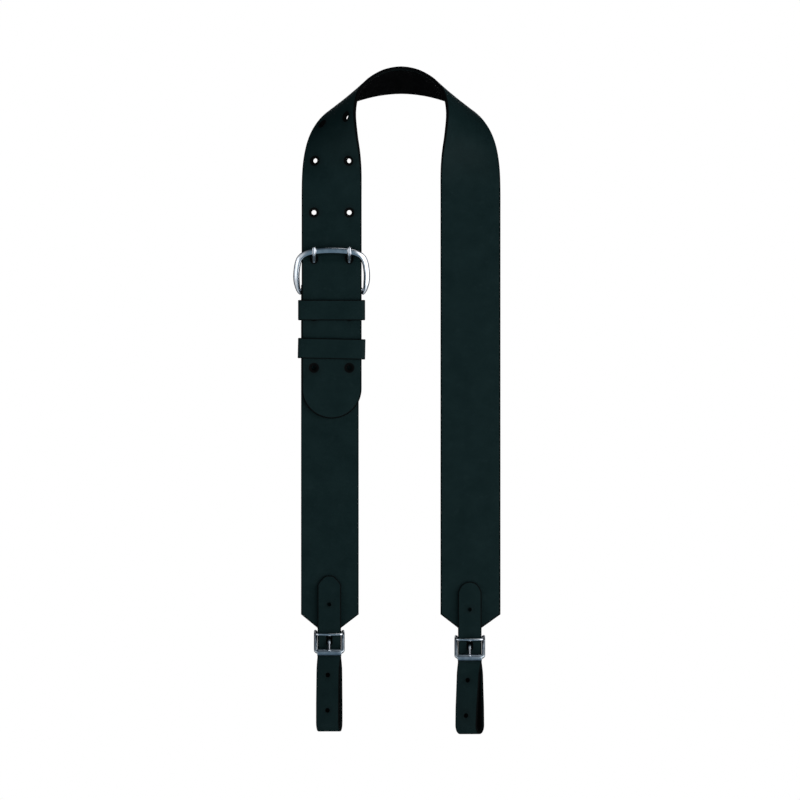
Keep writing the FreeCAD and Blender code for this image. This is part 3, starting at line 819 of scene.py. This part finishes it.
def short_strap():
    """Turned over the main buckle's bar at the top and folded round the end buckle's at the bottom."""
    fold, radii = tab_fold("left")
    wrap = MAIN_BAR_R + 0.15 + SKIVED / 2
    ahead, behind, over = MAIN_BAR.y - wrap, MAIN_BAR.y + wrap, MAIN_BAR.z + wrap
    back = STRAP_THICKNESS / 2 + SKIVED / 2 + 0.1
    corners = [(back, TURNBACK_END_Z), (back, SHORT_SKIVE_Z), (behind, MAIN_BAR.z - 1.0), (behind, over),
               (ahead, over), (ahead, SHORT_SKIVE_Z - 1), (0, SHORT_SKIVE_Z - 6)] + fold
    bends = [3, 3, wrap - 0.01, wrap - 0.01, 4, 4] + radii
    ribbon = Ribbon(stations_of(bend(flat_path(SHORT_X, corners), bends), X_AXIS))
    front, start = front_run(ribbon)
    skived = start + front.where_z(SHORT_SKIVE_Z - 4)
    corner = start + front.where_z(LEG_CORNER_Z)
    point = start + front.where_z(LEG_POINT_Z)
    half, tab = SHORT_WIDTH / 2, END_WIDTH / 2
    tab_u = design("left_end_buckle_hinge").x - SHORT_X
    outline = [(-half, 0), (half, 0), (half, corner), (tab_u + tab, point + 1.5),
               (tab_u + tab, ribbon.length), (tab_u - tab, ribbon.length), (tab_u - tab, point + 1.5),
               (-half, corner)]
    thicker = skive(skived, skived + 6, SKIVED, STRAP_THICKNESS)
    thinner = skive(point - 6, point + 6, STRAP_THICKNESS, SKIVED)
    over_bar = (ribbon.where_z(MAIN_BAR.z, last=False) + ribbon.where_z(MAIN_BAR.z)) / 2
    holes = [(side * HOLE_SPREAD / 2 - LEG_X - SHORT_X, over_bar, 3.0, 13.4, 0.4, 0.2) for side in (-1, 1)]
    return leather("short_strap_leather", ribbon, outline, holes, lambda s: min(thicker(s), thinner(s)),
                   [GRAIN, SHADE_DARKENED_FLESH], rim=0.9, columns=12)


def keeper_place(name, tilt):
    """Middle height of a keeper, and a function that tilts a point about it."""
    middle_z = (node_low(name).z + node_high(name).z) / 2
    centre = Vector((-LEG_X, 0, middle_z))
    lean = Matrix.Rotation(math.radians(tilt), 3, "Y")
    return middle_z, lambda p: centre + lean @ (p - centre)


def keeper(name, tilt):
    """Closed band of leather with its ends butted and stapled behind."""
    low, high = node_low(name), node_high(name)
    middle_z, tilted = keeper_place(name, tilt)
    skin = KEEPER_LEATHER / 2
    left, right, front, back = low.x + skin, high.x - skin, low.y + skin, high.y - skin
    corners = [Vector((x, y, middle_z)) for x, y in
               ((SHORT_X - 0.1, back), (left, back), (left, front), (right, front), (right, back),
                (SHORT_X + 0.1, back))]
    ribbon = Ribbon(stations_of(bend(corners, [2.4, 2.2, 2.2, 2.4], step=4.0, turn_step=12.0), Z_AXIS))
    half = KEEPER_HEIGHT / 2
    outline = [(half, 0), (half, ribbon.length), (-half, ribbon.length), (-half, 0)]
    return leather(name + "_leather", ribbon, outline, [], even(KEEPER_LEATHER), [GRAIN, SHADE_DARKENED_FLESH], rim=0.75,
                   columns=5, ripple=0.1, clear=0.9, warp=tilted)


def staple(name, tilt):
    """Round wire driven through both ends of a keeper, its crown lying across the joint."""
    middle_z, tilted = keeper_place(name, tilt)
    back = node_high(name).y
    corners = [tilted(Vector((SHORT_X + x, back + y, middle_z))) for x, y in
               ((-3.2, -1.2), (-3.2, 0.25), (3.2, 0.25), (3.2, -1.2))]
    wire = bar(corners, [0.5, 0.5], 0.32, 0.32, step=1.0, turn_step=18.0)
    return joined(name + "_wire_staple", [sweep(wire, Z_AXIS, count=12)], STEEL)


# ---------------------------------------------------------------- narrow straps


def narrow_path(end):
    """(y, z) corners and radii from the riveted end, down and round the loop, up to the tip."""
    bar_z = design(end + "_end_buckle_hinge").z
    roller_z = design(end + "_end_roller_spin").z
    split = design(end + "_end_loop_swing").z
    bottom = node_low(end + "_end_loop").z + END_LEATHER / 2
    tip_z = node_high(end + "_end_strap").z
    back = [(END_BACK_Y, END_BACK_TOP_Z - end_drop(end)), (END_BACK_Y, bar_z + 11), (7.75, bar_z + 3),
            (7.75, split - 8)]
    loop = [(9.0, bottom + 22), (9.0, bottom), (-5.0, bottom), (-5.0, bottom + 22)]
    front = [(END_FRONT_Y, split - 8), (END_FRONT_Y, roller_z + 1), (-2.5, bar_z - 4), (-5.2, bar_z + 9),
             (-3.3, tip_z)]
    return back + loop + front, [8, 8, 10, 12, 6.9, 6.9, 12, 10, 30, 8, 12]


def end_tip(end, length):
    """Corner points of a narrow strap's tip: clipped on the left, rounder on the right."""
    half = END_WIDTH / 2
    if end == "right":
        return [(half, length - 8.6), *arc_corners(0, length - 9.4, 9.4, 12, 156, 14), (-half, length - 8.6)]
    side = [(half, length - 8.4), (half - 0.5, length - 7.0), (half - 1.5, length - 5.5),
            (half - 4.9, length - 1.6), (half - 6.2, length - 0.6), (half - 7.6, length - 0.15)]
    return side + [(0, length)] + [(-u, s) for u, s in reversed(side)]


def narrow_strap(end):
    """Riveted behind the leg, looped for the instrument's ring, buckled and tucked in front."""
    x = design(end + "_end_buckle_hinge").x
    split = design(end + "_end_loop_swing").z
    bottom = node_low(end + "_end_loop").z
    corners, radii = narrow_path(end)
    ribbon = Ribbon(stations_of(bend(flat_path(x, corners), radii, step=5.0), -X_AXIS))
    half = END_WIDTH / 2
    outline = [(-half + 2.5, 0), (half - 2.5, 0), (half, 2.5), *end_tip(end, ribbon.length), (-half, 2.5)]
    first = END_FIRST_HOLE_Z - end_drop(end)
    holes = [(0, ribbon.where_z(first), 1.7, 0.0, 0.8, -0.14)]
    holes += [(0, ribbon.where_z(first - END_HOLE_PITCH * k), 1.75, 0.0, 0.35, 0.2) for k in (2, 3)]
    holes.append((0, ribbon.where_z(first - END_HOLE_PITCH + 0.3), 2.15, 5.6, 0.7, 0.3))
    top_twist, bottom_twist = LOOP_TWISTS[end]
    axis = Vector((x, 2.0, 0))

    def twisted(p):
        """The loop's twist comes in smoothly under the buckle and grows evenly to the bottom."""
        begun = share_of(p.z, split + 4, split - 10)
        down = share_of(p.z, split, bottom)
        turn = top_twist * begun * begun * (3 - 2 * begun) + (bottom_twist - top_twist) * down
        return axis + Matrix.Rotation(math.radians(-turn), 3, "Z") @ (p - axis)

    return leather(end + "_narrow_strap", ribbon, outline, holes, even(END_LEATHER), [END_GRAIN, SHADE_DARKENED_FLESH],
                   rim=0.85, columns=6, ripple=0.1, clear=1.6, warp=twisted)


# ---------------------------------------------------------------- buckles


def leaned(origin, degrees):
    """Function that puts a point (x, 0, height) of a buckle's own plane in place."""
    spin = Matrix.Rotation(math.radians(degrees), 3, "X")
    return lambda p: origin + spin @ p


def moved(shape, place):
    points, faces = shape
    return [place(p) for p in points], faces


def main_buckle():
    """Arched top bar and rails in one rounded bar, with a round bar for the short strap."""
    knots = [(Vector((x, 0, z)),) for x, z in MAIN_OUTLINE]
    knots += [(Vector((-p.x, 0, p.z)),) for (p,) in reversed(knots[:-1])]
    path = []
    for point, along in smooth(knots, 2.5):
        grown = share_of(point.z, -4.5, 6.5)
        half_wide = between(1.3, 2.7 - 0.2 * abs(along.x), grown)
        path.append((point, along, half_wide, between(1.2, 1.8, grown)))
    rod = bar([-X_AXIS * MAIN_BAR_HALF, X_AXIS * MAIN_BAR_HALF], [], MAIN_BAR_R, MAIN_BAR_R, step=9.0)
    place = leaned(MAIN_BAR, MAIN_TILT)
    front = Vector((0, -1, 0))

    def canted(along):
        """The frame's face slopes away towards its outer edge."""
        outwards = front.cross(along)
        return front + outwards * (0.40 + 0.10 * abs(along.z))

    shapes = [moved(sweep(path, canted, power=3.0, count=32), place), moved(sweep(rod, front), place)]
    return joined("main_buckle_ring", shapes, NICKEL)


def curl(centre, radius, start, turn, count):
    """(point, direction) round a bar that lies along x, from an angle in degrees and through turn."""
    made = []
    for i in range(count + 1):
        angle = math.radians(start + turn * i / count)
        side = Vector((0, math.cos(angle), math.sin(angle)))
        made.append((centre + side * radius, Vector((0, -side.z, side.y))))
    return made


def prong(name, eye_at, eye_radius, wall, eye_half, shank, points, radii):
    """Tongue of one bent bar: a flat eye curled round the bar, then a round shank to the tip.

    points are (y, z) corners of the shank after it leaves the eye.
    """
    ring = eye_radius + wall / 2
    first = Vector((0, points[0][0] - eye_at.y, points[0][1] - eye_at.z))
    leaves = math.atan2(first.z, first.y) + math.pi / 2 - math.asin(min(1.0, ring / first.length))
    eye = curl(eye_at, ring, math.degrees(leaves) - PRONG_CURL, PRONG_CURL, 29)
    path = [(point, along, eye_half, wall / 2) for point, along in eye]
    shank_path = bend([eye[-1][0]] + flat_path(eye_at.x, points), radii, step=2.0, turn_step=6.0)
    length = sum((b[0] - a[0]).length for a, b in zip(shank_path, shank_path[1:]))
    gone = 0.0
    for before, (point, along) in zip(shank_path, shank_path[1:]):
        gone += (point - before[0]).length
        rounded = share_of(gone, 0.0, 6.0)
        taper = 1.0 - PRONG_TAPER * gone / length
        path.append((point, along, between(eye_half, shank, rounded) * taper,
                     between(wall / 2, shank, rounded) * taper))
    return joined(name, [sweep(path, X_AXIS, power=2.2, count=20)], NICKEL)


def main_prong(side):
    x = -LEG_X + side * HOLE_SPREAD / 2
    bar_at = Vector((x, MAIN_BAR.y, MAIN_BAR.z))
    points = [(-2.6, -154.9), (-9.9, -147.0), (-10.6, -141.4)]
    name = "main_prong_" + ("left" if side < 0 else "right") + "_bar"
    return prong(name, bar_at, 2.35, 1.4, 2.3, 2.1, points, [8, 6])


def end_plane(end):
    """Hinge bar, the way from it to the roller, and how far that leans, in radians."""
    bar_at = design(end + "_end_buckle_hinge")
    across = design(end + "_end_roller_spin") - bar_at
    return bar_at, across, math.atan2(-across.y, -across.z)


def end_frame(end):
    """Square bar from lug to lug round under the roller, with a round hinge bar across it."""
    bar_at, across, lean = end_plane(end)
    place = leaned(bar_at, -math.degrees(lean))
    low = -across.length
    half = END_FRAME_HALF
    corners = [Vector((x, 0, z)) for x, z in
               ((-half, END_LUG), (-half, low + 2), (-half + END_FRAME_CUT, low), (half - END_FRAME_CUT, low),
                (half, low + 2), (half, END_LUG))]
    rail = bar(corners, [1.6] * 4, 1.5, 1.45, step=3.0, turn_step=12.0)
    rod = bar([-X_AXIS * half, X_AXIS * half], [], END_BAR_R, END_BAR_R, step=6.0)
    shapes = [moved(sweep(rail, Y_AXIS, power=3.2, count=24), place), moved(sweep(rod, Y_AXIS), place)]
    return joined(end + "_end_buckle_ring", shapes, END_NICKEL)


def end_roller(end):
    """Sheet rolled into a tube whose edges nearly meet."""
    path = curl(design(end + "_end_roller_spin"), ROLLER_R - ROLLER_WALL / 2, 100, 352, 48)
    sheet = [(point, along, ROLLER_WALL / 2, ROLLER_HALF) for point, along in path]
    return joined(end + "_end_roller_tube", [sweep(sheet, X_AXIS, power=7.0, count=28)], ROLLER_NICKEL)


def end_prong(end):
    """From the hinge bar forwards through the leather and down over the roller."""
    bar_at, across, _ = end_plane(end)
    clear = ROLLER_R + 1.5
    down = across.normalized()
    outward = Vector((0, down.z, -down.y))
    over = bar_at + across + outward * clear
    beyond = over + down * 1.6
    knee = bar_at + across * 0.45 + outward * (clear * 0.72)
    points = [(p.y, p.z) for p in (knee, over, beyond)]
    return prong(end + "_end_prong_bar", bar_at, 1.6, 1.0, 1.7, 1.5, points, [14, 14])


def end_wire(end):
    """Wire keeper: from both ends of the hinge bar round the front of the strap, sagging a little."""
    bar_at, _, lean = end_plane(end)
    start = Vector((0, bar_at.y + math.sin(lean) * 2.6, bar_at.z + math.cos(lean) * 2.6))
    front = Vector((0, -6.2, bar_at.z - 0.9))
    sag = front + (front - start).normalized() * 1.5
    corners = [Vector((bar_at.x + side * (END_FRAME_HALF + 0.3), p.y, p.z)) for side, p in
               ((-1, start), (-1, front), (0, sag), (1, front), (1, start))]
    wire = bar(corners, [3.4, 40.0, 3.4], WIRE_R, WIRE_R, step=1.5, turn_step=10.0)
    normal = (front - start).cross(X_AXIS).normalized()
    return joined(end + "_end_wire_clip", [sweep(wire, normal, count=16)], NICKEL)


# ---------------------------------------------------------------- rivets

# Turned profiles: radius, distance behind the front of the head or of the cap's outside
RIVET_HEAD = [(0.3, 0.0), (2.2, 0.06), (3.4, 0.25), (3.95, 0.55), (RIVET_R, 0.75), (3.7, 0.85), (1.5, 0.85)]
RIVET_CAP = [(1.4, -0.7), (3.8, -0.7), (RIVET_R, -0.5), (3.9, -0.2), (3.5, -0.03), (3.0, 0.0), (2.3, -0.16),
             (1.6, -0.3), (0.9, -0.33), (0.2, -0.34)]


def rivets(name, places):
    """Tubular rivets: a low domed head in front and a rolled cap behind. Returns (piece, node) pairs."""
    posts_node, caps_node = name + "_posts", name + "_caps"
    front, back = node_low(posts_node).y, node_high(caps_node).y
    head = RIVET_HEAD + [(RIVET_BORE_R, back - front - 0.9)]
    posts = [lathe(head, Vector((x, front, z)), Y_AXIS) for x, z in places]
    caps = [lathe(RIVET_CAP, Vector((x, back, z)), Y_AXIS) for x, z in places]
    return [(joined(posts_node + "_turned", posts, STEEL), posts_node),
            (joined(caps_node + "_turned", caps, STEEL), caps_node)]


# ---------------------------------------------------------------- assembly


def put(piece, body, slot, *nodes):
    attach(piece, body)
    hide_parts(*nodes)


put(long_strap(), "strap", "strap_leather", "long_strap")
put(short_strap(), "strap", "strap_leather", "short_strap")
for level, tilt in KEEPER_TILTS.items():
    node = level + "_keeper"
    put(keeper(node, tilt), node, "strap_leather", node)
    put(staple(node, tilt), node, "plated_steel", node + "_staple")
put(main_buckle(), "main_buckle", "nickel_plate", "main_buckle_frame")
put(main_prong(-1), "main_prong_left", "nickel_plate", "main_prong_left")
put(main_prong(1), "main_prong_right", "nickel_plate", "main_prong_right")

low_rivet, high_rivet = node_low("turnback_rivet_posts"), node_high("turnback_rivet_posts")
turnback = [(x, z) for x in (low_rivet.x + RIVET_R, high_rivet.x - RIVET_R)
            for z in (low_rivet.z + RIVET_R, high_rivet.z - RIVET_R)]
for piece, node in rivets("turnback_rivet", turnback):
    put(piece, "strap", "plated_steel", node)

for end in ("left", "right"):
    strip = narrow_strap(end)
    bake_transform(strip)
    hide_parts(end + "_end_strap", end + "_end_loop")
    put(end_frame(end), end + "_end_buckle", "nickel_plate", end + "_end_buckle_frame")
    put(end_roller(end), end + "_end_roller", "nickel_plate", end + "_end_roller")
    put(end_prong(end), end + "_end_prong", "nickel_plate", end + "_end_prong")
    put(end_wire(end), end + "_end_buckle", "nickel_plate", end + "_end_wire_keeper")
    hinge = design(end + "_end_buckle_hinge")
    for piece, node in rivets(end + "_end_rivet", [(hinge.x, hinge.z + up) for up in END_RIVETS_UP]):
        put(piece, "strap", "plated_steel", node)


# ---------------------------------------------------------------- light and camera


def area_light(name, at, size, power, target, glossy=True):
    light = bpy.data.lights.new(name, "AREA")
    light.shape = "RECTANGLE"
    light.size, light.size_y = size
    light.energy = power
    lamp = bpy.data.objects.new(name, light)
    lamp.visible_glossy = glossy
    lamp.location = at
    lamp.rotation_euler = (target - Vector(at)).to_track_quat("-Z", "Y").to_euler()
    bpy.context.scene.collection.objects.link(lamp)


low, high = cad_box
middle = (low + high) / 2
height = high.z - low.z

world = bpy.data.worlds.new("pale_studio")
bpy.context.scene.world = world
world.use_nodes = True
world_nodes, world_links = world.node_tree.nodes, world.node_tree.links
backdrop = world_nodes["Background"]
backdrop.inputs["Color"].default_value = (1.0, 1.0, 1.0, 1.0)
room = world_nodes.new("ShaderNodeBackground")
heading = world_nodes.new("ShaderNodeSeparateXYZ")
world_links.new(world_nodes.new("ShaderNodeTexCoord").outputs["Generated"], heading.inputs["Vector"])
across = maths(world_nodes, world_links, "MULTIPLY_ADD", heading.outputs["X"], 0.5)
across.node.inputs[2].default_value = 0.5
DARK_BAND = (0.150, 0.225, 0.285)
panels = ramp(world_nodes, world_links, across,
              [(0.25, (0.72, 0.75, 0.78)), (0.35, (0.22, 0.29, 0.34)), (0.43, DARK_BAND),
               (0.57, DARK_BAND), (0.65, (0.22, 0.29, 0.34)), (0.76, (0.86, 0.88, 0.91))])
ceiling = ramp(world_nodes, world_links, heading.outputs["Z"],
               [(0.2, (1.0, 1.0, 1.0)), (0.6, (0.26, 0.26, 0.27))])
along = maths(world_nodes, world_links, "MULTIPLY_ADD", heading.outputs["Y"], 0.5)
along.node.inputs[2].default_value = 0.5
behind = ramp(world_nodes, world_links, along,
              [(0.36, (1.0, 1.0, 1.0)), (0.50, (0.05, 0.05, 0.055)), (0.80, (0.05, 0.05, 0.055)),
               (0.95, (0.2, 0.2, 0.21))])
room_tone = mix_colour(world_nodes, world_links, 1.0, panels, ceiling, "MULTIPLY")
room_tone = mix_colour(world_nodes, world_links, 1.0, room_tone, behind, "MULTIPLY")
world_links.new(room_tone, room.inputs["Color"])
room.inputs["Strength"].default_value = 0.85
seen = world_nodes.new("ShaderNodeLightPath")
choose = world_nodes.new("ShaderNodeMixShader")
world_links.new(seen.outputs["Is Camera Ray"], choose.inputs["Fac"])
world_links.new(room.outputs["Background"], choose.inputs[1])
world_links.new(backdrop.outputs["Background"], choose.inputs[2])
world_links.new(choose.outputs["Shader"], world_nodes["World Output"].inputs["Surface"])

FLOOR_RADIUS = 2.2
FLOOR_DROP = 0.24
FLOOR_SPOKES = 96
floor_mesh = bpy.data.meshes.new("pale_floor")
turns = [2 * math.pi * i / FLOOR_SPOKES for i in range(FLOOR_SPOKES)]
corners = [(FLOOR_RADIUS * math.cos(turn), FLOOR_RADIUS * math.sin(turn), low.z - FLOOR_DROP)
           for turn in turns]
floor_mesh.from_pydata(corners, [], [tuple(range(FLOOR_SPOKES))])
floor = bpy.data.objects.new("pale_floor", floor_mesh)
bpy.context.scene.collection.objects.link(floor)
paint, paint_nodes, paint_links, paint_shader = new_material("pale_floor")
reach = paint_nodes.new("ShaderNodeVectorMath")
reach.operation = "LENGTH"
flat_place = paint_nodes.new("ShaderNodeVectorMath")
flat_place.operation = "MULTIPLY"
flat_place.inputs[1].default_value = (1 / FLOOR_RADIUS, 1 / FLOOR_RADIUS, 0.0)
paint_links.new(paint_nodes.new("ShaderNodeTexCoord").outputs["Object"], flat_place.inputs[0])
paint_links.new(flat_place.outputs["Vector"], reach.inputs[0])
# Painted light: the floor glows, dim in the middle and rising to white towards its rim, where it fades into
# the white backdrop.
glow = ramp(paint_nodes, paint_links, reach.outputs["Value"],
            [(0.05, (0.30, 0.30, 0.31)), (0.85, (0.98, 0.98, 0.98))])
paint_links.new(glow, paint_shader.inputs["Emission Color"])
paint_shader.inputs["Emission Strength"].default_value = 1.0
paint_shader.inputs["Base Color"].default_value = (0.45, 0.45, 0.45, 1.0)
paint_shader.inputs["Roughness"].default_value = 0.9
paint_shader.inputs["Specular IOR Level"].default_value = 0.1
floor_mesh.materials.append(paint)
floor.visible_glossy = False

area_light("key_softbox", (0.62, -0.70, -0.27), (0.8, 1.4), 4.4, middle)
area_light("fill_softbox", (-1.3, -1.0, -0.5), (0.5, 0.9), 1.2, middle)
area_light("top_strip", (0.35, -0.25, 1.2), (1.0, 0.5), 1.5, middle)
area_light("back_softbox", (0.0, 1.4, 0.0), (1.2, 1.2), 32.0, middle, glossy=False)
area_light("back_sheen", (0.0, 1.45, -0.1), (0.9, 0.9), 1.9, middle)

VIEW_HEIGHTS = 1.197
CAMERA_DISTANCE = 3.0
CAMERA_SHIFT = -0.0009
camera_data = bpy.data.cameras.new("camera")
camera_data.type = "ORTHO"
camera_data.ortho_scale = height * VIEW_HEIGHTS
camera_data.clip_end = 50.0
camera = bpy.data.objects.new("camera", camera_data)
camera.location = (CAMERA_SHIFT, middle.y - CAMERA_DISTANCE, middle.z)
camera.rotation_euler = (math.radians(90), 0, 0)
bpy.context.scene.collection.objects.link(camera)
bpy.context.scene.camera = camera
bpy.context.scene.view_settings.view_transform = "Standard"
